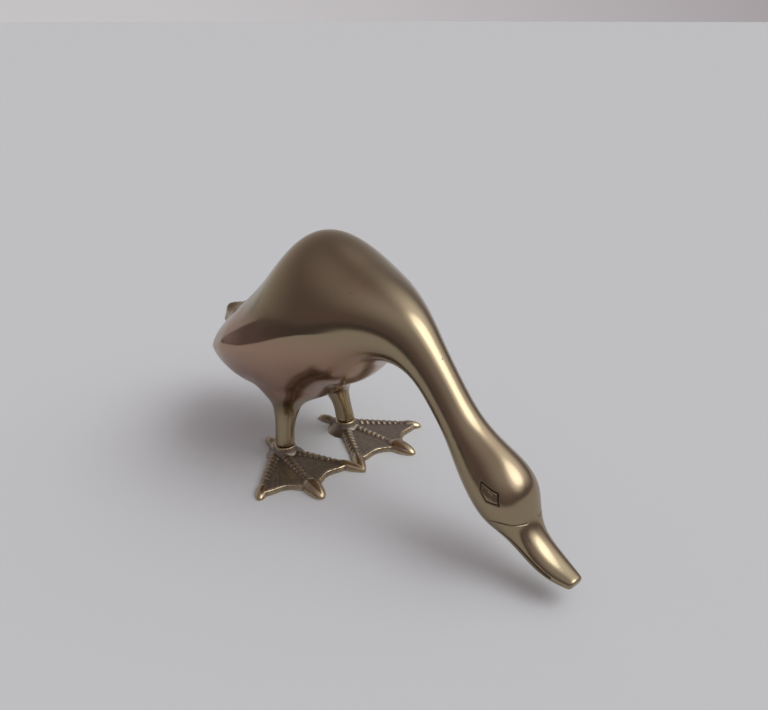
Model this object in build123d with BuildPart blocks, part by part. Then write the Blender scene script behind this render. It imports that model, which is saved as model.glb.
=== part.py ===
from build123d import *
import os
from collections import namedtuple
from math import cos, pi, radians, sin, tan

# A brass duck that bends down to feed. Two hollow half castings, each with half of the body, neck,
# head and bill and one leg, are brazed together along the median plane. Each leg stands on a
# separately cast webbed foot and is located on it by a plain dowel. Nothing moves.
#
# Millimetres. +X points to the bill, +Y to the duck's left and +Z up. The origin lies on the
# surface that the duck stands on, under the middle of its overall length.

# Overall placing. Reaches are measured from the hubs of the feet, where the toes run together
TAIL_REACH = 44.6
BILL_REACH = 115.2
HUB_SPREAD = 29.4

# Body casting. The back rises so far above the hips, where the legs enter the body
BODY_WIDTH = 54.6
BACK_RISE = 58.1
WALL = 4.0
SKIN_STRIPS = 6
CORE_STRIPS = 2
SIDE_HANDLE = 0.55
CHINE_HANDLE = 0.33

# Legs
ANKLE_SPREAD = 27.2
ANKLE_AHEAD = 3.0
LEG_LENGTH = 16.0
LEG_FACETS = 10
LEG_DIAMETER = 7.1
KNEE_HEIGHT = 9.0
KNEE_DIAMETER = 7.6
KNEE_SETBACK = 1.0
KNEE_INSET = 1.6
HIP_LENGTH = 14.5
HIP_WIDTH = 13.0
HIP_SETBACK = 1.8
HIP_INSET = 3.5
FLARE_RISE = 4.0
FLARE_LENGTH = 23.0
FLARE_WIDTH = 18.0
THIGH_RISE = 14.0
THIGH_LENGTH = 28.0
THIGH_WIDTH = 18.0
THIGH_SETBACK = 4.0

# Ankle dowels
PIN_DIAMETER = 3.0
PIN_IN_LEG = 6.0
PIN_IN_FOOT = 3.0
PIN_CLEARANCE = 0.05
PIN_END_ROOM = 0.5

# Feet
FOOT_HEIGHT = 4.6
BOSS_DIAMETER = 9.0
BOSS_TAPER = 7.4
TOE_OUT = 9.5
TOE_SPLAY = 36.5
MIDDLE_TOE = 34.0
OUTER_TOE = 29.8
INNER_FILED_BACK = 2.0
HIND_TOE = 11.4
HIND_TOE_TURN = 5.5
HIND_ROOT = 5.0
HIND_CLAW_RADIUS = 1.9
TOE_ROOT_RADIUS = 2.6
TOE_END_RADIUS = 1.9
SCALE_START = 4.6
SCALE_PITCH = 2.3
SCALE_COUNT = 7
SCALE_DEPTH = 0.45
TOE_FACETS = 4
CLAW_SWELL = 3.0
CLAW_STEPS = 3
CLAW_END_ANGLE = 80
MIDDLE_CLAW_RADIUS = 3.1
SIDE_CLAW_RADIUS = 2.2
WEB_THICKNESS = 2.1
WEB_REACH = 27.2
WEB_NOTCH = 24.6
WEB_RIM = 1.2
WEB_HOLLOW = 0.6

# Places that follow from the sizes above
HUB_X = (TAIL_REACH - BILL_REACH) / 2
HUB_Y = HUB_SPREAD / 2
ANKLE_X = HUB_X + ANKLE_AHEAD
ANKLE_Y = ANKLE_SPREAD / 2
HIP_HEIGHT = FOOT_HEIGHT + LEG_LENGTH
PIN_BORE = PIN_DIAMETER + 2 * PIN_CLEARANCE
CLAW_START = SCALE_START + SCALE_PITCH * SCALE_COUNT
INNER_TOE = HUB_Y / sin(radians(TOE_SPLAY - TOE_OUT)) + INNER_FILED_BACK

# Each section of the body is an oval on a plane across the spine. It lies so far ahead of the hubs,
# as a share of the reach to the bill or the tail, and above the hip, is tipped nose-down by pitch, and
# reaches half_width to each side, rise above and drop below its widest line. Heights are shares of the
# back's rise and widths are shares of the body's width. roof and keel say how broad its top and
# underside are, and lean is how far its sides slope in from the vertical, which gives the wing edge
# its corner.
Section = namedtuple("Section", "ahead above pitch half_width rise drop roof keel lean")

tail_end = Section(-0.962, 0.300, 18, 0.121, 0.112, 0.095, 1.00, 0.85, 0)
tail_root = Section(-0.807, 0.313, 16, 0.168, 0.088, 0.134, 0.70, 0.65, 8)
rump = Section(-0.650, 0.305, 10, 0.286, 0.182, 0.181, 0.45, 0.55, 20)
wing_tips = Section(-0.516, 0.291, 5, 0.429, 0.231, 0.217, 0.38, 0.55, 25)
thigh_back = Section(-0.336, 0.317, 0, 0.491, 0.305, 0.317, 0.36, 0.60, 22)
thigh_front = Section(-0.090, 0.368, 0, 0.500, 0.446, 0.382, 0.32, 0.55, 19)
hump = Section(0.069, 0.437, 0, 0.474, 0.570, 0.445, 0.44, 0.55, 8)
shoulders = Section(0.174, 0.523, 0, 0.421, 0.480, 0.372, 0.55, 0.55, 0)
breast = Section(0.269, 0.601, 4, 0.352, 0.325, 0.361, 0.55, 0.55, 0)
neck_root = Section(0.356, 0.635, 14, 0.260, 0.222, 0.269, 0.55, 0.55, 0)
neck_bend = Section(0.434, 0.601, 30, 0.176, 0.169, 0.176, 0.55, 0.55, 0)
neck_upper = Section(0.503, 0.523, 40, 0.128, 0.124, 0.112, 0.55, 0.55, 0)
neck_middle = Section(0.573, 0.398, 46, 0.110, 0.103, 0.098, 0.55, 0.55, 0)
neck_lower = Section(0.642, 0.256, 46, 0.116, 0.113, 0.106, 0.55, 0.55, 0)
nape = Section(0.703, 0.139, 42, 0.145, 0.140, 0.131, 0.55, 0.55, 0)
crown = Section(0.760, 0.059, 38, 0.172, 0.163, 0.149, 0.55, 0.55, 0)
cheeks = Section(0.803, -0.010, 40, 0.162, 0.142, 0.146, 0.55, 0.55, 0)
bill_root = Section(0.838, -0.079, 42, 0.124, 0.080, 0.108, 0.55, 0.55, 0)
bill_base = Section(0.864, -0.131, 40, 0.100, 0.064, 0.083, 0.55, 0.55, 0)
bill_middle = Section(0.907, -0.189, 34, 0.092, 0.055, 0.055, 0.60, 0.60, 0)
bill_front = Section(0.955, -0.224, 24, 0.077, 0.044, 0.036, 0.65, 0.65, 0)
bill_tip = Section(0.9957, -0.238, 16, 0.050, 0.031, 0.020, 0.80, 0.80, 0)

SKIN = [tail_end, tail_root, rump, wing_tips, thigh_back, thigh_front, hump, shoulders, breast,
        neck_root, neck_bend, neck_upper, neck_middle, neck_lower, nape, crown, cheeks, bill_root,
        bill_base, bill_middle, bill_front, bill_tip]
CORE = [rump, thigh_back, hump, breast, neck_root]

# Each ring of the leg is a facetted oval at a height above the floor, set back from the ankle's axis
# and in towards the median plane
Ring = namedtuple("Ring", "height setback inset length width")
LEG = [Ring(FOOT_HEIGHT, 0, 0, LEG_DIAMETER, LEG_DIAMETER),
       Ring(FOOT_HEIGHT + KNEE_HEIGHT, KNEE_SETBACK, KNEE_INSET, KNEE_DIAMETER, KNEE_DIAMETER),
       Ring(HIP_HEIGHT, HIP_SETBACK, HIP_INSET, HIP_LENGTH, HIP_WIDTH),
       Ring(HIP_HEIGHT + FLARE_RISE, HIP_SETBACK, HIP_INSET, FLARE_LENGTH, FLARE_WIDTH),
       Ring(HIP_HEIGHT + THIGH_RISE, THIGH_SETBACK, HIP_INSET, THIGH_LENGTH, THIGH_WIDTH)]


def section_plane(section):
    """The plane across the spine at a section, with its local X to the left and its local Y up."""
    tip = radians(section.pitch)
    reach = BILL_REACH if section.ahead > 0 else TAIL_REACH
    return Plane(origin=(HUB_X + section.ahead * reach, 0, HIP_HEIGHT + section.above * BACK_RISE),
                 x_dir=(0, 1, 0), z_dir=(cos(tip), 0, -sin(tip)))


def section_outline(section, strips, inset):
    """Draw a section as a closed line with so many strips in each quarter, drawn in by inset."""
    side = section.half_width * BODY_WIDTH - inset
    top = section.rise * BACK_RISE - inset
    bottom = section.drop * BACK_RISE - inset
    lean = tan(radians(section.lean)) * CHINE_HANDLE
    roof = Bezier((0, top), (section.roof * side, top), (side - lean * top, SIDE_HANDLE * top),
                  (side, 0), mode=Mode.PRIVATE)
    keel = Bezier((side, 0), (side - lean * bottom, -SIDE_HANDLE * bottom),
                  (section.keel * side, -bottom), (0, -bottom), mode=Mode.PRIVATE)
    left = [roof @ (step / strips) for step in range(strips)]
    left += [keel @ (step / strips) for step in range(strips + 1)]
    right = [(-point.X, point.Y) for point in left[-2:0:-1]]
    Polyline(*left, *right, close=True)


def ring_outline(ring):
    """Draw a ring of the leg about the ankle's axis."""
    points = []
    for facet in range(LEG_FACETS):
        angle = 2 * pi * (facet + 0.5) / LEG_FACETS
        points.append((ANKLE_X - ring.setback + ring.length / 2 * cos(angle),
                       ANKLE_Y - ring.inset + ring.width / 2 * sin(angle)))
    Polyline(*points, close=True)


def toe_plane(turn, distance):
    """The plane across a toe, so far from the left hub and turned so many degrees from the middle toe.

    Its local X points to the toe's left and its local Y up.
    """
    heading = radians(TOE_OUT + turn)
    return Plane(origin=(HUB_X + distance * cos(heading), HUB_Y + distance * sin(heading), 0),
                 x_dir=(-sin(heading), cos(heading), 0), z_dir=(cos(heading), sin(heading), 0))


def claw_stations(start, length, radius):
    """The distances and radii of a smooth claw that rounds off towards its tip."""
    stations = []
    for step in range(CLAW_STEPS + 1):
        angle = radians(CLAW_END_ANGLE * step / CLAW_STEPS)
        stations.append((start + (length - start) * sin(angle), radius * cos(angle)))
    return stations


def toe_stations(length, claw_radius):
    """The distances and radii along a toe: its root, a row of ridged scales and a swollen claw."""
    taper = (TOE_ROOT_RADIUS - TOE_END_RADIUS) / SCALE_COUNT
    stations = [(0, TOE_ROOT_RADIUS), (SCALE_START, TOE_ROOT_RADIUS)]
    for scale in range(SCALE_COUNT):
        radius = TOE_ROOT_RADIUS - taper * (scale + 1)
        ridge = SCALE_START + SCALE_PITCH * (scale + 0.5)
        stations.append((ridge, radius + SCALE_DEPTH))
        stations.append((ridge + SCALE_PITCH / 2, radius))
    return stations + claw_stations(CLAW_START + CLAW_SWELL, length, claw_radius)


def toe_outline(radius):
    """Draw the facetted half round that a toe shows across its length, flat on the floor."""
    points = []
    for facet in range(TOE_FACETS + 1):
        angle = pi * facet / TOE_FACETS
        points.append((radius * cos(angle), radius * sin(angle)))
    Polyline(*points, close=True)


def web_plane(height):
    """The level plane at the left hub, with its local X along the middle toe."""
    heading = radians(TOE_OUT)
    return Plane(origin=(HUB_X, HUB_Y, height), x_dir=(cos(heading), sin(heading), 0),
                 z_dir=(0, 0, 1))


def web_outline(reach, notch):
    """Draw the web: straight edges along the side toes and a hollow front between each two toes."""
    side = (reach * cos(radians(TOE_SPLAY)), reach * sin(radians(TOE_SPLAY)))
    dip = (notch * cos(radians(TOE_SPLAY / 2)), notch * sin(radians(TOE_SPLAY / 2)))
    for hand in (1, -1):
        Line((0, 0), (side[0], hand * side[1]))
        ThreePointArc((side[0], hand * side[1]), (dip[0], hand * dip[1]), (reach, 0))


# Each toe: how far it is turned from the middle one, and its stations
HIND_STATIONS = [(0, TOE_ROOT_RADIUS)] + claw_stations(HIND_ROOT, HIND_TOE, HIND_CLAW_RADIUS)
TOES = [(0, toe_stations(MIDDLE_TOE, MIDDLE_CLAW_RADIUS)),
        (TOE_SPLAY, toe_stations(OUTER_TOE, SIDE_CLAW_RADIUS)),
        (-TOE_SPLAY, toe_stations(INNER_TOE, SIDE_CLAW_RADIUS)),
        (180 + HIND_TOE_TURN, HIND_STATIONS)]

with BuildPart() as left_half:
    for section in SKIN:
        with BuildSketch(section_plane(section)):
            with BuildLine():
                section_outline(section, SKIN_STRIPS, 0)
            make_face()
    loft()
    # The leg flares into the thigh, which runs up inside the body
    for ring in LEG:
        with BuildSketch(Plane.XY.offset(ring.height)):
            with BuildLine():
                ring_outline(ring)
            make_face()
    loft()
    # The body is cast round a core, from the rump to the root of the neck
    for section in CORE:
        with BuildSketch(section_plane(section)):
            with BuildLine():
                section_outline(section, CORE_STRIPS, WALL)
            make_face()
    loft(ruled=True, mode=Mode.SUBTRACT)
    split(bisect_by=Plane.XZ, keep=Keep.BOTTOM)
    # Blind bore for the ankle dowel, up into the leg
    with Locations(Location((ANKLE_X, ANKLE_Y, FOOT_HEIGHT), (180, 0, 0))):
        Hole(PIN_BORE / 2, depth=PIN_IN_LEG + PIN_END_ROOM)

with BuildPart() as right_half:
    mirror(left_half.part, about=Plane.XZ)

with BuildPart() as left_foot:
    with BuildSketch(web_plane(0)):
        with BuildLine():
            web_outline(WEB_REACH, WEB_NOTCH)
        make_face()
    extrude(amount=WEB_THICKNESS)
    # The web is sunk behind a raised front rim
    with BuildSketch(web_plane(WEB_THICKNESS)):
        with BuildLine():
            web_outline(WEB_REACH - WEB_RIM, WEB_NOTCH - WEB_RIM)
        make_face()
    extrude(amount=-WEB_HOLLOW, mode=Mode.SUBTRACT)
    # Three scaled toes and a short smooth hind toe
    for turn, stations in TOES:
        for distance, radius in stations:
            with BuildSketch(toe_plane(turn, distance)):
                with BuildLine():
                    toe_outline(radius)
                make_face()
        loft(ruled=True)
    # Boss that the leg stands on, facetted like the leg, with a blind bore for the dowel
    with BuildSketch():
        with Locations((ANKLE_X, ANKLE_Y)):
            RegularPolygon(BOSS_DIAMETER / 2, LEG_FACETS, rotation=180 / LEG_FACETS)
    extrude(amount=FOOT_HEIGHT, taper=BOSS_TAPER)
    with Locations((ANKLE_X, ANKLE_Y, FOOT_HEIGHT)):
        Hole(PIN_BORE / 2, depth=PIN_IN_FOOT)
    # The inner toes of the two feet are filed flat and brazed to each other on the median plane
    split(bisect_by=Plane.XZ, keep=Keep.BOTTOM)

with BuildPart() as right_foot:
    mirror(left_foot.part, about=Plane.XZ)

with BuildPart() as left_pin:
    with Locations((ANKLE_X, ANKLE_Y, FOOT_HEIGHT - PIN_IN_FOOT)):
        Cylinder(PIN_DIAMETER / 2, PIN_IN_FOOT + PIN_IN_LEG,
                 align=(Align.CENTER, Align.CENTER, Align.MIN))

with BuildPart() as right_pin:
    mirror(left_pin.part, about=Plane.XZ)

os.makedirs("parts", exist_ok=True)
PIECES = {
    "body_left_half": left_half,
    "body_right_half": right_half,
    "left_foot": left_foot,
    "right_foot": right_foot,
    "left_ankle_pin": left_pin,
    "right_ankle_pin": right_pin,
}
for name, piece in PIECES.items():
    piece.part.label = name
    export_step(piece.part, f"parts/{name}.step")
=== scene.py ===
from collections import namedtuple
from math import cos, pi, radians, sin, tan

import bmesh
import bpy
import numpy as np
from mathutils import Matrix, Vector


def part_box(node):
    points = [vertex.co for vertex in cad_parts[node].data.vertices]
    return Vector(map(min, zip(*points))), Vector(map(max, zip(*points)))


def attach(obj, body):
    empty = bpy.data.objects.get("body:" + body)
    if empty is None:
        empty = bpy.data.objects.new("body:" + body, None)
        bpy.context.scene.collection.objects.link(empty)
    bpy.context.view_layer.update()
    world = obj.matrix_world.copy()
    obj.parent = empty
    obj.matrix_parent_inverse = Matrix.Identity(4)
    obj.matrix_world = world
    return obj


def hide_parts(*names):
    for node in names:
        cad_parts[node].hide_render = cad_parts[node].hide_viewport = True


# A cast brass duck that bends down to feed, on separately cast webbed feet. Shapes are worked out in
# millimetres, with +X to the bill, +Y to the duck's left and +Z up from the floor.

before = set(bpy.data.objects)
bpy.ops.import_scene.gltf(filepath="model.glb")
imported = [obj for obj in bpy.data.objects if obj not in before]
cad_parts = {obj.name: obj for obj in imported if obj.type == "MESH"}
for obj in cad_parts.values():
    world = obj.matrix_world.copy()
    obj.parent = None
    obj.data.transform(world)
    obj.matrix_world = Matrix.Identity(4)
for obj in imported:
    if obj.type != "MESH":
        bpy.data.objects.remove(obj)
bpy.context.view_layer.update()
MM = 0.001

# Places that the frame gives
BODY_LOW, BODY_HIGH = np.array(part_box("body_left_half")) / MM
PIN_LOW, PIN_HIGH = np.array(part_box("left_ankle_pin")) / MM
ANKLE_X, ANKLE_Y = ((PIN_LOW + PIN_HIGH) / 2)[:2]
FOOT_HEIGHT = np.array(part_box("left_foot"))[1, 2] / MM

# Body. Reaches are measured from the hubs of the feet, where the toes run together
ANKLE_AHEAD = 3.0
HUB_X = ANKLE_X - ANKLE_AHEAD
HUB_Y = 14.7
TAIL_REACH = HUB_X - BODY_LOW[0]
BILL_REACH = BODY_HIGH[0] - HUB_X
BODY_WIDTH = 54.6
BACK_RISE = 58.1
LEG_LENGTH = 16.0
HIP_HEIGHT = FOOT_HEIGHT + LEG_LENGTH
SIDE_HANDLE = 0.55
CHINE_HANDLE = 0.33
TAIL_DISH = 1.6
TAIL_EDGE = 0.8
TAIL_EDGE_STEPS = 8
BILL_EDGE = 0.35
BILL_EDGE_STEPS = 6
SPINE_STEP = 0.5
QUARTER_STEPS = 24

# Each section of the body is an oval across the spine, so far ahead of the hubs as a share of the reach
# to the bill or the tail, and so far above the hip. It is tipped nose-down by pitch. Heights are shares
# of the back's rise and widths of the body's width. roof and keel say how broad its top and underside
# are, and lean gives the wing edge its corner. A roof over 1, on the tail, is dished up to its corners.
Section = namedtuple("Section", "ahead above pitch half_width rise drop roof keel lean")
SECTIONS = {
    "tail_end": Section(-0.962, 0.275, 18, 0.148, 0.107, 0.075, 1.35, 0.85, 50),
    "tail_root": Section(-0.807, 0.313, 16, 0.172, 0.082, 0.134, 0.95, 0.65, 20),
    "rump": Section(-0.650, 0.305, 10, 0.286, 0.168, 0.181, 0.45, 0.55, 20),
    "wing_tips": Section(-0.516, 0.291, 5, 0.429, 0.231, 0.217, 0.38, 0.55, 25),
    "thigh_back": Section(-0.336, 0.317, 0, 0.491, 0.305, 0.317, 0.36, 0.60, 22),
    "thigh_front": Section(-0.090, 0.368, 0, 0.500, 0.446, 0.382, 0.32, 0.55, 19),
    "hump": Section(0.069, 0.437, 0, 0.474, 0.569, 0.445, 0.44, 0.55, 8),
    "shoulders": Section(0.174, 0.523, 0, 0.421, 0.480, 0.372, 0.55, 0.55, 0),
    "breast": Section(0.269, 0.601, 4, 0.352, 0.325, 0.361, 0.55, 0.55, 0),
    "neck_root": Section(0.356, 0.635, 14, 0.260, 0.222, 0.269, 0.55, 0.55, 0),
    "neck_bend": Section(0.434, 0.601, 30, 0.176, 0.169, 0.176, 0.55, 0.55, 0),
    "neck_upper": Section(0.503, 0.523, 40, 0.128, 0.124, 0.112, 0.55, 0.55, 0),
    "neck_middle": Section(0.573, 0.398, 46, 0.110, 0.103, 0.098, 0.55, 0.55, 0),
    "neck_lower": Section(0.642, 0.256, 46, 0.116, 0.109, 0.106, 0.55, 0.55, 0),
    "nape": Section(0.703, 0.139, 42, 0.145, 0.151, 0.131, 0.55, 0.55, 0),
    "crown": Section(0.760, 0.059, 38, 0.172, 0.163, 0.149, 0.55, 0.55, 0),
    "cheeks": Section(0.803, -0.010, 40, 0.162, 0.142, 0.146, 0.55, 0.55, 0),
    "bill_root": Section(0.838, -0.079, 42, 0.124, 0.080, 0.108, 0.55, 0.55, 0),
    "bill_base": Section(0.864, -0.131, 40, 0.100, 0.064, 0.083, 0.55, 0.55, 0),
    "bill_middle": Section(0.907, -0.189, 34, 0.092, 0.055, 0.055, 0.60, 0.60, 0),
    "bill_front": Section(0.955, -0.224, 24, 0.077, 0.044, 0.036, 0.65, 0.65, 0),
    "bill_tip": Section(0.9957, -0.238, 16, 0.050, 0.031, 0.020, 0.80, 0.80, 0),
}

# Legs: rings at a height above the floor, set back from the ankle and in towards the median plane
Ring = namedtuple("Ring", "height setback inset length width")
LEG_RINGS = [
    Ring(FOOT_HEIGHT, 0, 0, 7.1, 7.1),
    Ring(FOOT_HEIGHT + 9.0, 1.0, 1.6, 7.6, 7.6),
    Ring(HIP_HEIGHT, 1.8, 3.5, 14.5, 13.0),
    Ring(HIP_HEIGHT + 4, 1.8, 3.5, 23.0, 18.0),
    Ring(HIP_HEIGHT + 14, 4.0, 3.5, 28.0, 18.0),
]
LEG_FACETS = 10
LEG_FLATNESS = 0.6
LEG_EDGE = 0.35
LEG_EDGE_STEPS = 4
LEG_AROUND = 80

# The skin is fused from overlapping pieces in voxels of this size, and smoothed in rounds. It is eased
# most where the legs run in, round a place set in from the ankle, and less where that zone fades out
BODY_VOXEL = 0.45
RELAX_PULL = 0.5
SKIN_ROUNDS = 6
HIP_ROUNDS = 160
HIP_INSET = 3
HIP_EASE_BELOW = 5.0
HIP_FADE_ABOVE = 6.0
HIP_EASE_ABOVE = 12.0
HIP_FADE_ROUND = 10.2
HIP_EASE_ROUND = 17.0

# Creases on each flank, in the side view, ahead of the hubs and above the floor. Both rise near the
# tail: the edge of the wing soon fades, and the edge of the belly runs on below it to the breast
Crease = namedtuple("Crease", "path height half_width fade_start fade_end")
WING_EDGE = [(-17.0, 39.2), (-11.2, 42.5), (-5.4, 47.2), (1.1, 51.1), (7.1, 54.5), (14.0, 58.4)]
BELLY_EDGE = [(-17.0, 40.5), (-11.0, 42.2), (0.8, 45.0), (10.6, 48.8), (18.6, 52.4), (26.4, 55.2),
              (38.0, 57.5)]
CREASES = [Crease(WING_EDGE, 0.45, 2.8, 0, 14), Crease(BELLY_EDGE, 0.8, 5.0, 22, 42)]
CREASE_START = -19
CREASE_FULL = -9

# Lines cut into the head, in the same view
EYE = [(87.7, 28.6), (93.0, 27.0), (94.1, 24.1), (90.6, 24.3), (88.4, 26.3), (87.7, 28.6)]
PUPIL = [(90.7, 27.0), (92.1, 26.6), (91.9, 26.1)]
BILL_LINE = [(91.0, 18.1), (93.4, 18.9), (95.4, 19.1), (97.5, 18.8), (98.7, 18.8), (99.5, 18.8)]
MOUTH = [(94.2, 15.6), (96.7, 14.2), (98.0, 13.3), (101.2, 11.3), (105.5, 9.3), (107.4, 8.5),
         (109.2, 7.9)]
Cut = namedtuple("Cut", "path half_width depth")
CUTS = [Cut(EYE, 0.25, 0.3), Cut(PUPIL, 0.14, 0.2), Cut(BILL_LINE, 0.16, 0.25), Cut(MOUTH, 0.38, 0.55)]
CUT_WALL = 0.14
CUT_ZONE = 1.4
CUT_CORE = 0.8
CUT_REFINE = 3
CUT_SMOOTHING = 24
# Painted shade darkens a line more with its depth, and is full from this share of the deepest cut
CUT_SHADED_SHARE = 0.5

# Feet. The toes fan out from the hub. The inner toes run on past the median plane and are cut off there,
# where their tips meet. The last toe is the hind one, without scales
TOE_OUT = 9.5
TOE_SPLAY = 36.5
TOE_OVERRUN = 2
FOOT_VOXEL = 0.22
FOOT_ROUNDS = 4
Toe = namedtuple("Toe", "turn length claw_width claw_height scales")
TOES = [
    Toe(0, 34.0, 3.3, 3.4, 8),
    Toe(TOE_SPLAY, 29.7, 2.3, 2.5, 8),
    Toe(-TOE_SPLAY, HUB_Y / sin(radians(TOE_SPLAY - TOE_OUT)) + TOE_OVERRUN, 2.2, 2.5, 8),
    Toe(185.5, 11.4, 1.9, 2.2, 0),
]
TOE_ROOT = 2.6
TOE_END = 1.9
TOE_LEAST = 0.05
TOE_STEP = 0.22
TOE_AROUND = 28
SCALE_START = 4.6
SCALE_PITCH = 2.1
SCALE_HEIGHT = 0.42
SCALE_SIDE = 0.4
SCALE_SHARPNESS = 3
SCALE_BOW = 1.1
CLAW_START = 21.5
HIND_CLAW_START = 5.0
CLAW_SWELL = 0.35
CLAW_TAPER = 0.25
CLAW_BLUNTNESS = 2.2
CUTICLE = 0.35
CUTICLE_WIDTH = 0.5
WEB_REACH = 27.4
WEB_NOTCH = 24.4
WEB_SUNK = 1.7
WEB_RIM_HEIGHT = 1.9
WEB_RIM = 1.3
WEB_RIM_MIDDLE = 0.5
WEB_EDGE = 0.4
WEB_LEAST = 0.02
WEB_RIBS = 18
RIB_HEIGHT = 0.05
WEB_ACROSS = 301
WEB_OUTWARD = 90
BOSS_BASE = 14.0
BOSS_TOP = 7.3
BOSS_FLARE = 2.2
BOSS_EDGE = 0.2
BOSS_RINGS = 24

# A foot is worn where it stands so far proud of the mean skin, spread over so many rounds, and the claws
# are rubbed a little more
WEAR_SPREAD = 14
WEAR_FULL = 0.22
CLAW_RUB = 0.2
RUB_START = CLAW_START + 1
RUB_FULL = CLAW_START + 6

# Finishes: sizes in millimetres, along X, Y and Z where there are three, and a tilt in degrees
TARNISH_PATCH = 14
PIT_SPACING = 5
PIT_RADIUS = 0.225
FILE_MARK = (9, 0.5, 0.5)
FILE_TILT = 18
POLISH_GRAIN = 0.5
PATINA_SPOT = 1.5
SAND_GRAIN = 0.35
DRAW_LINE = (0.2, 0.2, 12)
# The belly's tone is bounded below the wing, above the legs, behind the breast and ahead of the tail: it
# starts at the first place on the axis and is full at the second
BELLY_BOUNDS = [("Z", 58, 48), ("Z", 20, 27), ("X", 24, 4), ("X", -62, -40)]
# Pits start at the first place along X, and reach their full size at the second
PITS_BEHIND, PITS_AHEAD = -15, 10


def flowing(knots, values, places):
    """Values at places on the smoothest line through the knots: a natural cubic spline."""
    knots = np.asarray(knots, float)
    values = np.asarray(values, float)
    step = np.diff(knots)
    slope = np.diff(values, axis=0) / step[:, None]
    system = np.eye(len(knots))
    pull = np.zeros_like(values)
    for i in range(1, len(knots) - 1):
        system[i, i - 1:i + 2] = step[i - 1], 2 * (step[i - 1] + step[i]), step[i]
        pull[i] = 6 * (slope[i] - slope[i - 1])
    bend = np.linalg.solve(system, pull)
    stretch = np.clip(np.searchsorted(knots, places, side="right") - 1, 0, len(knots) - 2)
    along = (places - knots[stretch])[:, None]
    length = step[stretch][:, None]
    start = slope[stretch] - length * (2 * bend[stretch] + bend[stretch + 1]) / 6
    change = (bend[stretch + 1] - bend[stretch]) / (6 * length)
    return values[stretch] + along * start + along ** 2 * bend[stretch] / 2 + along ** 3 * change


def eased(value, low, high):
    """A smooth step from 0 at low to 1 at high."""
    share = np.clip((value - low) / (high - low), 0, 1)
    return share * share * (3 - 2 * share)


def tube_faces(rings, around):
    """Quads between rings of points that are closed round, with a cap on each end."""
    ring, step = np.meshgrid(np.arange(rings - 1), np.arange(around), indexing="ij")
    here = ring * around + step
    beside = ring * around + (step + 1) % around
    faces = np.stack([here, beside, beside + around, here + around], -1).reshape(-1, 4).tolist()
    faces.append(list(range(around))[::-1])
    faces.append(list(range((rings - 1) * around, rings * around)))
    return faces


def new_piece(name, shells):
    """An object from shells of points in millimetres and their faces."""
    points, faces, first = [], [], 0
    for shell_points, shell_faces in shells:
        points.append(np.asarray(shell_points) * MM)
        faces += [[first + corner for corner in face] for face in shell_faces]
        first += len(shell_points)
    mesh = bpy.data.meshes.new(name)
    mesh.from_pydata(np.vstack(points).tolist(), [], faces)
    bm = bmesh.new()
    bm.from_mesh(mesh)
    bmesh.ops.recalc_face_normals(bm, faces=bm.faces)
    bm.to_mesh(mesh)
    bm.free()
    piece = bpy.data.objects.new(name, mesh)
    bpy.context.scene.collection.objects.link(piece)
    return piece


def fuse(piece, voxel):
    """Replace a piece's overlapping shells by one skin, in voxels of so many millimetres."""
    remesh = piece.modifiers.new("fuse", "REMESH")
    remesh.mode = "VOXEL"
    remesh.voxel_size = voxel * MM
    shown = piece.evaluated_get(bpy.context.evaluated_depsgraph_get())
    skin = bpy.data.meshes.new_from_object(shown)
    piece.modifiers.clear()
    piece.data = skin


def points_of(piece):
    """A piece's points in millimetres."""
    points = np.empty(len(piece.data.vertices) * 3)
    piece.data.vertices.foreach_get("co", points)
    return points.reshape(-1, 3) / MM


def normals_of(piece):
    """A piece's outward directions at its points."""
    normals = np.empty(len(piece.data.vertices) * 3)
    piece.data.vertex_normals.foreach_get("vector", normals)
    return normals.reshape(-1, 3)


def place_points(piece, points):
    """Move a piece's points to places in millimetres."""
    piece.data.vertices.foreach_set("co", (points * MM).ravel())
    piece.data.update()


def edges_of(piece):
    """Pairs of a piece's points that an edge joins."""
    pairs = np.empty(len(piece.data.edges) * 2, int)
    piece.data.edges.foreach_get("vertices", pairs)
    return pairs.reshape(-1, 2)


def neighbour_mean(values, pairs):
    """The mean of each point's neighbours, for any columns of values."""
    first, second = pairs.T
    count = np.maximum(np.bincount(pairs.ravel(), minlength=len(values)), 1)
    columns = [np.bincount(first, column[second], len(values))
               + np.bincount(second, column[first], len(values)) for column in values.T]
    return np.stack(columns, -1) / count[:, None]


def relax(piece, weight, rounds):
    """Draw points towards the mean of their neighbours, by weight, so many rounds."""
    points = points_of(piece)
    pairs = edges_of(piece)
    pull = RELAX_PULL * np.broadcast_to(weight, len(points))[:, None]
    for _ in range(rounds):
        points = points + pull * (neighbour_mean(points, pairs) - points)
    place_points(piece, points)


def from_path(points, path):
    """Distance in the side view from a path to points."""
    path = np.array(path, float) + (HUB_X, 0)
    flat = points[:, [0, 2]]
    nearest = np.full(len(flat), np.inf)
    for start, end in zip(path[:-1], path[1:]):
        run = end - start
        along = np.clip((flat - start) @ run / (run @ run), 0, 1)
        nearest = np.minimum(nearest, np.linalg.norm(flat - start - along[:, None] * run, axis=1))
    return nearest


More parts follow.
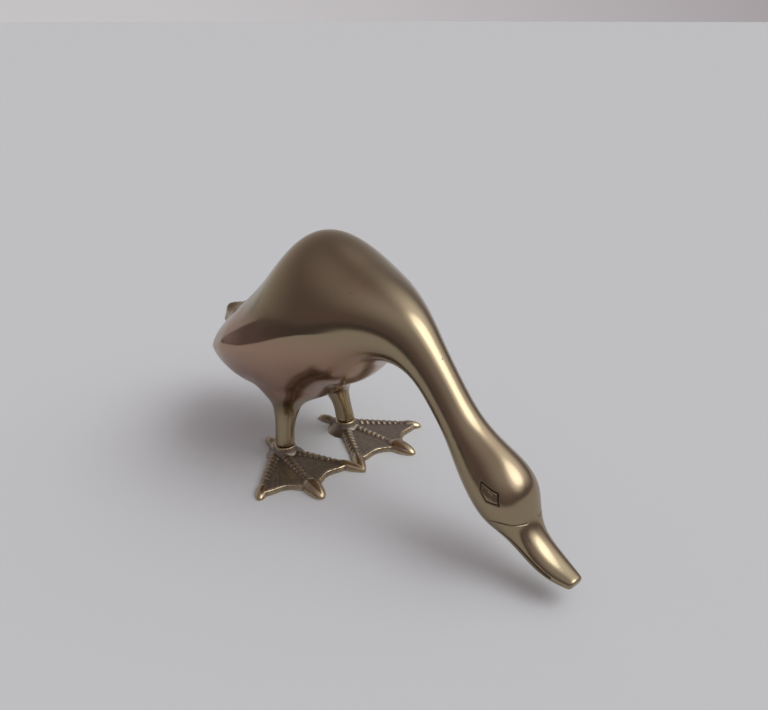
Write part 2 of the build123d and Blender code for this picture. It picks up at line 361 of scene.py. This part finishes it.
def body_skin():
    """The body, neck, head and bill: ovals on a smooth spine, rounded at the tail and the bill."""
    table = np.array([list(section) for section in SECTIONS.values()])
    reach = np.where(table[:, 0] > 0, BILL_REACH, TAIL_REACH)
    table[:, 0] = HUB_X + table[:, 0] * reach
    table[:, 1] = HIP_HEIGHT + table[:, 1] * BACK_RISE
    table[:, 3] *= BODY_WIDTH
    table[:, 4:6] *= BACK_RISE
    knots = np.concatenate([[0], np.cumsum(np.linalg.norm(np.diff(table[:, :2], axis=0), axis=1))])
    places = np.linspace(0, knots[-1], int(knots[-1] / SPINE_STEP))
    places = np.union1d(places, knots[-1] - np.linspace(0, BILL_EDGE, BILL_EDGE_STEPS))
    places = np.union1d(places, np.linspace(0, TAIL_EDGE, TAIL_EDGE_STEPS))
    share = np.linspace(0, 1, QUARTER_STEPS, endpoint=False)[:, None]
    rings = []
    for place, row in zip(places, flowing(knots, table, places)):
        x, z, pitch, side, top, bottom, roof, keel, lean = row
        inset = 0.0
        for gap, edge in ((place, TAIL_EDGE), (knots[-1] - place, BILL_EDGE)):
            if gap < edge:
                inset += edge - np.sqrt(edge ** 2 - (edge - gap) ** 2)
        side, top, bottom = side - inset, top - inset, bottom - inset
        slope = tan(radians(lean)) * CHINE_HANDLE
        dish = 1 + TAIL_DISH * max(roof - 1, 0)
        shoulder = SIDE_HANDLE * max(roof, 1) * top
        corners = [np.array(corner) for corner in (
            (0, top), (roof * side, dish * top), (side - slope * top, shoulder), (side, 0),
            (side - slope * bottom, -SIDE_HANDLE * bottom), (keel * side, -bottom), (0, -bottom))]
        left = []
        for a, b, c, d in (corners[:4], corners[3:]):
            left.append(a * (1 - share) ** 3 + 3 * b * share * (1 - share) ** 2
                        + 3 * c * share ** 2 * (1 - share) + d * share ** 3)
        left = np.vstack(left + [corners[-1][None]])
        oval = np.vstack([left, left[-2:0:-1] * (-1, 1)])
        tip = radians(pitch)
        rings.append(np.stack([x + oval[:, 1] * sin(tip), oval[:, 0], z + oval[:, 1] * cos(tip)], -1))
    return np.vstack(rings), tube_faces(len(rings), len(rings[0]))


def leg(hand):
    """A leg with soft filed flats, flaring into the thigh; hand is 1 on the left and -1 on the right."""
    table = np.array([list(ring) for ring in LEG_RINGS])
    edge = LEG_EDGE * np.linspace(0, 1, LEG_EDGE_STEPS, endpoint=False)
    heights = np.arange(table[0, 0] + LEG_EDGE, table[-1, 0], SPINE_STEP)
    heights = np.concatenate([table[0, 0] + edge, heights])
    turn = np.linspace(0, 2 * pi, LEG_AROUND, endpoint=False)
    sector = 2 * pi / LEG_FACETS
    flat = cos(sector / 2) / np.cos(turn % sector - sector / 2)
    flat = 1 + LEG_FLATNESS * (flat - 1)
    rings = []
    for height, row in zip(heights, flowing(table[:, 0], table, heights)):
        _, setback, inset, length, width = row
        bevel = max(0, LEG_EDGE - (height - table[0, 0]))
        rings.append(np.stack([
            ANKLE_X - setback + (length / 2 - bevel) * flat * np.cos(turn),
            hand * (ANKLE_Y - inset + (width / 2 - bevel) * flat * np.sin(turn)),
            np.full_like(turn, height)], -1))
    return np.vstack(rings), tube_faces(len(rings), LEG_AROUND)


def crease_flanks(piece):
    """Raise a low sharp ridge along each crease, fading out at both ends."""
    points = points_of(piece)
    ahead = points[:, 0] - HUB_X
    ridge = np.zeros(len(points))
    for crease in CREASES:
        fade = eased(ahead, CREASE_START, CREASE_FULL)
        fade = fade * (1 - eased(ahead, crease.fade_start, crease.fade_end))
        ridge += crease.height * fade * np.exp(-from_path(points, crease.path) / crease.half_width)
    place_points(piece, points + normals_of(piece) * ridge[:, None])


def cut_lines(piece):
    """Cut the eye, the edge of the bill and the mouth into the head, on a locally finer skin."""
    points = points_of(piece)
    gaps = [from_path(points, cut.path) for cut in CUTS]
    near = np.min(gaps, axis=0) < CUT_ZONE
    bm = bmesh.new()
    bm.from_mesh(piece.data)
    finer = [edge for edge in bm.edges if near[edge.verts[0].index] and near[edge.verts[1].index]]
    bmesh.ops.subdivide_edges(bm, edges=finer, cuts=CUT_REFINE, use_grid_fill=True)
    bm.to_mesh(piece.data)
    bm.free()
    points = points_of(piece)
    gaps = [from_path(points, cut.path) for cut in CUTS]
    relax(piece, 1 - eased(np.min(gaps, axis=0), CUT_CORE * CUT_ZONE, CUT_ZONE), CUT_SMOOTHING)
    points = points_of(piece)
    depth = np.zeros(len(points))
    for cut in CUTS:
        gap = from_path(points, cut.path)
        wall = 1 - eased(gap, cut.half_width - CUT_WALL / 2, cut.half_width + CUT_WALL / 2)
        depth = np.maximum(depth, cut.depth * wall)
    place_points(piece, points - normals_of(piece) * depth[:, None])
    # Each point's depth, as a share of this, sets how much painted shade the material gives it
    shaded_depth = CUT_SHADED_SHARE * max(cut.depth for cut in CUTS)
    engraved = piece.data.attributes.new("engraved", "FLOAT", "POINT")
    engraved.data.foreach_set("value", np.clip(depth / shaded_depth, 0, 1))


def toe(kind):
    """A toe: a half-round bar with bowed scale ridges and a swollen claw, along +X from the hub."""
    start = CLAW_START if kind.scales else HIND_CLAW_START
    along = np.linspace(0, kind.length, int(kind.length / TOE_STEP))
    taper = TOE_ROOT + (TOE_END - TOE_ROOT) * np.clip(along / start, 0, 1)
    claw = np.clip((along - start) / (kind.length - start), 0, 1)
    swell = np.sin(np.clip(claw / CLAW_SWELL, 0, 1) * pi / 2) ** 2
    end = np.clip((claw - CLAW_TAPER) / (1 - CLAW_TAPER), 0, 1)
    point = np.sqrt(np.clip(1 - end ** CLAW_BLUNTNESS, 0, 1))
    width = np.maximum((taper + (kind.claw_width - taper) * swell) * point, TOE_LEAST)
    height = np.maximum((taper + (kind.claw_height - taper) * swell) * point, TOE_LEAST)
    turn = np.linspace(0, pi, TOE_AROUND)
    rings = []
    for x, w, h in zip(along, width, height):
        raised = np.zeros_like(turn)
        if kind.scales:
            bowed = x - SCALE_BOW * np.cos(turn) ** 2
            wave = (bowed - SCALE_START) / SCALE_PITCH
            scaled = (wave > -0.5) & (wave < kind.scales - 0.5)
            raised = SCALE_HEIGHT * scaled * np.abs(np.cos(pi * wave)) ** SCALE_SHARPNESS
            raised += CUTICLE * np.exp(-((bowed - start) / CUTICLE_WIDTH) ** 2)
        rings.append(np.stack([np.full_like(turn, x), (w + SCALE_SIDE * raised) * np.cos(turn),
                               (h + raised) * np.sin(turn)], -1))
    return np.vstack(rings), tube_faces(len(rings), TOE_AROUND)


def web():
    """The web between the three front toes: sunk, with a raised scalloped front rim."""
    turn = np.radians(np.linspace(-TOE_SPLAY, TOE_SPLAY, WEB_ACROSS))
    between = np.sin(pi * np.degrees(turn) / TOE_SPLAY) ** 2
    front = WEB_REACH + (WEB_NOTCH - WEB_REACH) * between
    share = np.linspace(WEB_LEAST, 1, WEB_OUTWARD)
    middle = WEB_RIM_MIDDLE * WEB_RIM
    rings = []
    for angle, reach in zip(turn, front):
        out = share * reach
        rim = np.exp(-((reach - out - middle) / middle) ** 2)
        edge = np.sqrt(np.clip((reach - out) / (WEB_EDGE * WEB_RIM), 0, 1))
        rib = RIB_HEIGHT * cos(pi * WEB_RIBS * angle / radians(TOE_SPLAY)) * share
        top = (WEB_SUNK + rib + (WEB_RIM_HEIGHT - WEB_SUNK) * rim) * np.maximum(edge, WEB_LEAST)
        upper = np.stack([out * cos(angle), out * sin(angle), top], -1)
        rings.append(np.vstack([upper, (upper * (1, 1, 0))[::-1]]))
    return np.vstack(rings), tube_faces(len(rings), len(rings[0]))


def boss():
    """The round boss that the leg stands on, flaring down into the toes."""
    turn = np.linspace(0, 2 * pi, LEG_AROUND, endpoint=False)
    rings = []
    for share in np.linspace(0, 1, BOSS_RINGS):
        height = share * FOOT_HEIGHT
        flare = (BOSS_BASE - BOSS_TOP) * (1 - share) ** BOSS_FLARE
        radius = (BOSS_TOP + flare) / 2 - max(0, height - FOOT_HEIGHT + BOSS_EDGE)
        rings.append(np.stack([ANKLE_X + radius * np.cos(turn), ANKLE_Y + radius * np.sin(turn),
                               np.full_like(turn, height)], -1))
    return np.vstack(rings), tube_faces(len(rings), LEG_AROUND)


def foot(name, hand):
    """A webbed foot; hand is 1 on the left and -1 on the right."""
    shells = []
    for shape, turn in [(toe(kind), kind.turn) for kind in TOES] + [(web(), 0)]:
        points, faces = shape
        heading = radians(TOE_OUT + turn)
        ahead = np.array((cos(heading), sin(heading), 0))
        aside = np.array((-sin(heading), cos(heading), 0))
        turned = points[:, :1] * ahead + points[:, 1:2] * aside + points[:, 2:] * (0, 0, 1)
        shells.append((turned + (HUB_X, HUB_Y, 0), faces))
    shells.append(boss())
    shells = [(points * (1, hand, 1), faces) for points, faces in shells]
    piece = new_piece(name, shells)
    fuse(piece, FOOT_VOXEL)
    relax(piece, 1.0, FOOT_ROUNDS)
    points = points_of(piece)
    points[:, 2] = np.clip(points[:, 2], 0, FOOT_HEIGHT)
    points[:, 1] = hand * np.maximum(hand * points[:, 1], 0)
    place_points(piece, points)
    return piece


def mark_wear(piece):
    """Store how worn each point of a foot is, from 0 to 1: where it stands proud, and on the claws."""
    points = points_of(piece)
    pairs = edges_of(piece)
    around = points
    for _ in range(WEAR_SPREAD):
        around = neighbour_mean(around, pairs)
    proud = ((points - around) * normals_of(piece)).sum(1)
    reach = np.hypot(points[:, 0] - HUB_X, np.abs(points[:, 1]) - HUB_Y)
    rubbed = CLAW_RUB * eased(reach, RUB_START, RUB_FULL)
    worn = piece.data.attributes.new("worn", "FLOAT", "POINT")
    worn.data.foreach_set("value", np.clip((1 + proud / WEAR_FULL) / 2 + rubbed, 0, 1))


def smooth_shading(piece):
    """Shade a piece as one smooth surface."""
    piece.data.polygons.foreach_set("use_smooth", np.ones(len(piece.data.polygons), bool))


def linear(colour):
    """An sRGB hex colour as linear red, green, blue and alpha."""
    parts = [int(colour[i:i + 2], 16) / 255 for i in (1, 3, 5)]
    return [part / 12.92 if part <= 0.04045 else ((part + 0.055) / 1.055) ** 2.4 for part in parts] + [1]


def add_node(tree, kind, links=None, **settings):
    """Add a node, set its properties and socket values, and link its inputs to other nodes' outputs."""
    node = tree.nodes.new(kind)
    for name, value in settings.items():
        setattr(node, name, value)
    for socket, source in (links or {}).items():
        if isinstance(source, bpy.types.NodeSocket):
            tree.links.new(source, node.inputs[socket])
        else:
            node.inputs[socket].default_value = source
    return node


def new_material(name):
    """An empty node material: its tree, its shader, linked to the output, and places on the object."""
    material = bpy.data.materials.new(name)
    material.use_nodes = True
    tree = material.node_tree
    tree.nodes.clear()
    shader = add_node(tree, "ShaderNodeBsdfPrincipled")
    add_node(tree, "ShaderNodeOutputMaterial", {"Surface": shader.outputs["BSDF"]})
    place = add_node(tree, "ShaderNodeTexCoord").outputs["Object"]
    return material, tree, shader, place


def mapped(tree, value, start, end, least=0.0, most=1.0, **settings):
    """A value that runs from start to end, made to run from least to most and held there beyond."""
    return add_node(tree, "ShaderNodeMapRange", {
        "Value": value, "From Min": start, "From Max": end, "To Min": least, "To Max": most,
    }, **settings).outputs["Result"]


def reckoned(tree, operation, first, second):
    """One sum on two values."""
    return add_node(tree, "ShaderNodeMath", {0: first, 1: second}, operation=operation).outputs["Value"]


def blended(tree, share, first, second, kind="RGBA"):
    """A mix of two colours, or of two numbers if kind is FLOAT."""
    return add_node(tree, "ShaderNodeMix", {
        "Factor": share, "A": first, "B": second}, data_type=kind).outputs["Result"]


def axes_of(tree, place):
    """The X, Y and Z of a place."""
    return add_node(tree, "ShaderNodeSeparateXYZ", {"Vector": place}).outputs


def mottled(tree, place, size, detail):
    """Noise in spots of so many millimetres."""
    return add_node(tree, "ShaderNodeTexNoise", {
        "Vector": place, "Scale": 1 / (size * MM), "Detail": detail}).outputs["Fac"]


def streaked(tree, place, size, tilt=0):
    """Noise in streaks of so many millimetres along X, Y and Z, tilted by so many degrees about Y."""
    stretched = add_node(tree, "ShaderNodeMapping", {
        "Vector": place, "Scale": [1 / (part * MM) for part in size],
        "Rotation": (0, radians(tilt), 0)})
    return add_node(tree, "ShaderNodeTexNoise", {
        "Vector": stretched.outputs["Vector"], "Scale": 1.0}).outputs["Fac"]


def relief(tree, height, strength, depth, under=None, **settings):
    """The normal on a relief so many millimetres deep, added to the relief under it."""
    links = {"Height": height, "Strength": strength, "Distance": depth * MM}
    if under is not None:
        links["Normal"] = under
    return add_node(tree, "ShaderNodeBump", links, **settings).outputs["Normal"]


def satin_polished_cast_brass():
    """Cast brass, filed and satin polished, toned brown by age, with a few casting pits."""
    material, tree, shader, place = new_material("satin_polished_cast_brass")
    axes = axes_of(tree, place)
    # Tarnish lies in soft patches, and the belly is toned an even pinkish brown
    patches = mottled(tree, place, TARNISH_PATCH, detail=4.0)
    belly = 1.0
    for axis, start, full in BELLY_BOUNDS:
        belly = reckoned(tree, "MULTIPLY", belly, mapped(tree, axes[axis], start * MM, full * MM))
    toned = reckoned(tree, "MAXIMUM", belly, mapped(tree, patches, 0.35, 0.7, most=0.3))
    brass = blended(tree, toned, linear("#9D8F73"), linear("#AA8B78"))
    # Small pits are scattered over the shoulder and neck
    cells = add_node(tree, "ShaderNodeTexVoronoi", {"Vector": place, "Scale": 1 / (PIT_SPACING * MM)})
    reach = mapped(tree, axes["X"], PITS_BEHIND * MM, PITS_AHEAD * MM, most=PIT_RADIUS / PIT_SPACING)
    pits = reckoned(tree, "LESS_THAN", cells.outputs["Distance"], reach)
    # The pits and the cut lines are painted dark, as painted shade in these recesses
    lines = add_node(tree, "ShaderNodeAttribute", attribute_name="engraved").outputs["Fac"]
    painted_shade = reckoned(tree, "MAXIMUM", lines, pits)
    tree.links.new(blended(tree, painted_shade, brass, linear("#54483E")), shader.inputs["Base Color"])
    shader.inputs["Metallic"].default_value = 1.0
    # The polish is a little duller where the tarnish lies: reflections stay readable but soft
    polish = mapped(tree, patches, 0.3, 0.7, least=0.16, most=0.24)
    tree.links.new(blended(tree, painted_shade, polish, 0.5, "FLOAT"), shader.inputs["Roughness"])
    # File marks run along the belly, and a fine grain from the polish breaks up the reflections a little
    marks = reckoned(tree, "MULTIPLY", streaked(tree, place, FILE_MARK, FILE_TILT), belly)
    filed = relief(tree, marks, strength=0.3, depth=0.05)
    pitted = relief(tree, pits, strength=0.6, depth=0.08, under=filed, invert=True)
    grain = mottled(tree, place, POLISH_GRAIN, detail=2.0)
    grained = relief(tree, grain, strength=0.5, depth=0.015, under=pitted)
    tree.links.new(grained, shader.inputs["Normal"])
    return material


def patinated_cast_brass():
    """Cast brass with a dark patina in its hollows, rubbed bright on the ridges and claws."""
    material, tree, shader, place = new_material("patinated_cast_brass")
    worn = add_node(tree, "ShaderNodeAttribute", attribute_name="worn").outputs["Fac"]
    # The patina is mottled in small spots
    spots = mottled(tree, place, PATINA_SPOT, detail=5.0)
    bright = reckoned(tree, "ADD", worn, mapped(tree, spots, 0.3, 0.7, least=-0.12, most=0.12))
    tones = add_node(tree, "ShaderNodeValToRGB", {"Fac": bright})
    ramp = tones.color_ramp.elements
    ramp[0].position, ramp[0].color = 0.25, linear("#786F69")
    ramp[1].position, ramp[1].color = 0.95, linear("#BFAD8C")
    middle = ramp.new(0.55)
    middle.color = linear("#948878")
    tree.links.new(tones.outputs["Color"], shader.inputs["Base Color"])
    shader.inputs["Metallic"].default_value = 1.0
    # The hollows are dull and the worn parts are smoother
    rough = mapped(tree, bright, 0.3, 0.8, least=0.5, most=0.24)
    tree.links.new(rough, shader.inputs["Roughness"])
    # The mould's sand leaves a grain
    sand = mottled(tree, place, SAND_GRAIN, detail=3.0)
    tree.links.new(relief(tree, sand, strength=0.3, depth=0.08), shader.inputs["Normal"])
    return material


def drawn_brass_rod():
    """Drawn brass rod: bright, with fine lines along its length."""
    material, tree, shader, place = new_material("drawn_brass_rod")
    lines = streaked(tree, place, DRAW_LINE)
    tone = blended(tree, lines, linear("#C6A75F"), linear("#D9BE7C"))
    tree.links.new(tone, shader.inputs["Base Color"])
    shader.inputs["Metallic"].default_value = 1.0
    shader.inputs["Roughness"].default_value = 0.3
    tree.links.new(relief(tree, lines, strength=0.2, depth=0.02), shader.inputs["Normal"])
    return material


def matte_floor():
    """A plain pale matte floor, with painted shade that turns it grey far out on the duck's right."""
    material, tree, shader, place = new_material("pale_floor_with_painted_shade")
    # The grey is painted shade, and the polished flank reflects it
    pale = mapped(tree, axes_of(tree, place)["Y"], FLOOR_SHADED * MM, FLOOR_PALE * MM,
                  interpolation_type="SMOOTHSTEP")
    tone = blended(tree, pale, linear("#655F62"), linear("#DBDCDB"))
    tree.links.new(tone, shader.inputs["Base Color"])
    shader.inputs["Roughness"].default_value = 0.95
    shader.inputs["Specular IOR Level"].default_value = 0.1
    return material


def dress(piece, nodes, material):
    """Ride a piece on the frame, stand it for its nodes and give it its finish."""
    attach(piece, "root")
    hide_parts(*nodes)
    piece.data.materials.clear()
    piece.data.materials.append(material)
    smooth_shading(piece)


# Body: the skin and both legs become one casting, eased where the legs run into the belly
body = new_piece("duck_body", [body_skin(), leg(1), leg(-1)])
fuse(body, BODY_VOXEL)
relax(body, 1.0, SKIN_ROUNDS)
skin_points = points_of(body)
hip_gap = np.hypot(skin_points[:, 0] - ANKLE_X, np.abs(skin_points[:, 1]) - ANKLE_Y + HIP_INSET)
hip_zone = (eased(skin_points[:, 2], HIP_HEIGHT - HIP_EASE_BELOW, HIP_HEIGHT)
            * (1 - eased(skin_points[:, 2], HIP_HEIGHT + HIP_FADE_ABOVE, HIP_HEIGHT + HIP_EASE_ABOVE))
            * (1 - eased(hip_gap, HIP_FADE_ROUND, HIP_EASE_ROUND)))
relax(body, hip_zone, HIP_ROUNDS)
crease_flanks(body)
cut_lines(body)
dress(body, ["body_left_half", "body_right_half"], satin_polished_cast_brass())

# Feet
foot_finish = patinated_cast_brass()
for side, hand in (("left", 1), ("right", -1)):
    webbed = foot(f"{side}_webbed_foot", hand)
    mark_wear(webbed)
    dress(webbed, [f"{side}_foot"], foot_finish)

# Ankle dowels
rod = drawn_brass_rod()
for side in ("left", "right"):
    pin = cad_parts[f"{side}_ankle_pin"]
    pin.data.materials.clear()
    pin.data.materials.append(rod)

# Floor: painted shade makes it grey beyond the first distance on the duck's right, and it is pale from
# the second
FLOOR_REACH = 60000
FLOOR_SHADED = -240
FLOOR_PALE = -140
floor_corners = [(-FLOOR_REACH, -FLOOR_REACH, 0), (FLOOR_REACH, -FLOOR_REACH, 0),
                 (FLOOR_REACH, FLOOR_REACH, 0), (-FLOOR_REACH, FLOOR_REACH, 0)]
floor = new_piece("floor", [(floor_corners, [[0, 1, 2, 3]])])
floor.data.materials.append(matte_floor())

# Camera: to the duck's front right, looking down at it
CAMERA_AHEAD = 195.9
CAMERA_ASIDE = -138.5
CAMERA_HEIGHT = 140.0
CAMERA_HEADING = 48.4
CAMERA_DIP = 24.07
FOCAL_PIXELS = 750
IMAGE_WIDTH = 768
SENSOR_WIDTH = 36
CLIP_START = 10
camera = bpy.data.objects.new("camera", bpy.data.cameras.new("camera"))
camera.data.sensor_width = SENSOR_WIDTH
camera.data.lens = SENSOR_WIDTH * FOCAL_PIXELS / IMAGE_WIDTH
camera.data.clip_start = CLIP_START * MM
camera.location = Vector((HUB_X + CAMERA_AHEAD, CAMERA_ASIDE, CAMERA_HEIGHT)) * MM
camera.rotation_euler = (radians(90 - CAMERA_DIP), 0, radians(CAMERA_HEADING))
bpy.context.scene.collection.objects.link(camera)
bpy.context.scene.camera = camera

# Light: one broad soft lamp, high on the camera's right, in dim surroundings. Directions are in degrees,
# turned right from straight beyond the duck and raised from level
LAMP_TURN = 106
LAMP_RISE = 50
LAMP_SPREAD = 38
LAMP_STRENGTH = 0.6
DAYLIGHT = linear("#F6FBFF")
# Soft glows: two on the right, one each side of the lamp, and a weak fill from above the camera. Each
# fades out where the cosine of the angle from its middle falls to edge
Glow = namedtuple("Glow", "turn rise edge strength")
GLOWS = [Glow(72, 47, 0.72, 1.3), Glow(122, 46, 0.83, 1.9), Glow(180, 62, 0.5, 0.38)]
# The surroundings are paler low down beyond the duck, and less so higher up
PALE_TURN = -26
PALE_EDGE = 0.25
PALE_OVERHEAD = 0.3
heading = radians(CAMERA_HEADING)
BEYOND = Vector((-sin(heading), cos(heading), 0))
RIGHT = Vector((cos(heading), sin(heading), 0))


def bearing(turn, rise):
    """A direction turned right from straight beyond the duck, and raised from level."""
    turn, rise = radians(turn), radians(rise)
    return cos(rise) * (cos(turn) * BEYOND + sin(turn) * RIGHT) + Vector((0, 0, sin(rise)))


lamp = bpy.data.objects.new("soft_lamp", bpy.data.lights.new("soft_lamp", "SUN"))
lamp.data.energy = LAMP_STRENGTH
lamp.data.angle = radians(LAMP_SPREAD)
lamp.data.color = DAYLIGHT[:3]
lamp.rotation_euler = bearing(LAMP_TURN, LAMP_RISE).to_track_quat("Z", "Y").to_euler()
bpy.context.scene.collection.objects.link(lamp)

world = bpy.data.worlds.new("dim_studio")
bpy.context.scene.world = world
world.use_nodes = True
sky = world.node_tree
sky.nodes.clear()
look = add_node(sky, "ShaderNodeTexCoord").outputs["Generated"]


def toward(direction, edge):
    """How far a look turns to a direction, from 0 where the cosine is edge to 1."""
    cosine = add_node(sky, "ShaderNodeVectorMath", {0: look, 1: direction}, operation="DOT_PRODUCT")
    return mapped(sky, cosine.outputs["Value"], edge, 1.0)


low = mapped(sky, axes_of(sky, look)["Z"], 0.0, 1.0, 1.0, PALE_OVERHEAD)
pale = reckoned(sky, "MULTIPLY", toward(bearing(PALE_TURN, 0), PALE_EDGE), low)
tone = blended(sky, pale, linear("#796C71"), linear("#C6C3C5"))
around = add_node(sky, "ShaderNodeBackground", {"Color": tone}).outputs["Background"]
glowing = 0.0
for glow in GLOWS:
    share = toward(bearing(glow.turn, glow.rise), glow.edge)
    soft = mapped(sky, reckoned(sky, "MULTIPLY", share, share), 0.0, 1.0, most=glow.strength)
    glowing = reckoned(sky, "ADD", glowing, soft)
glows = add_node(sky, "ShaderNodeBackground", {
    "Color": DAYLIGHT, "Strength": glowing}).outputs["Background"]
both = add_node(sky, "ShaderNodeAddShader", {0: around, 1: glows}).outputs["Shader"]
add_node(sky, "ShaderNodeOutputWorld", {"Surface": both})

bpy.context.scene.view_settings.view_transform = "Standard"
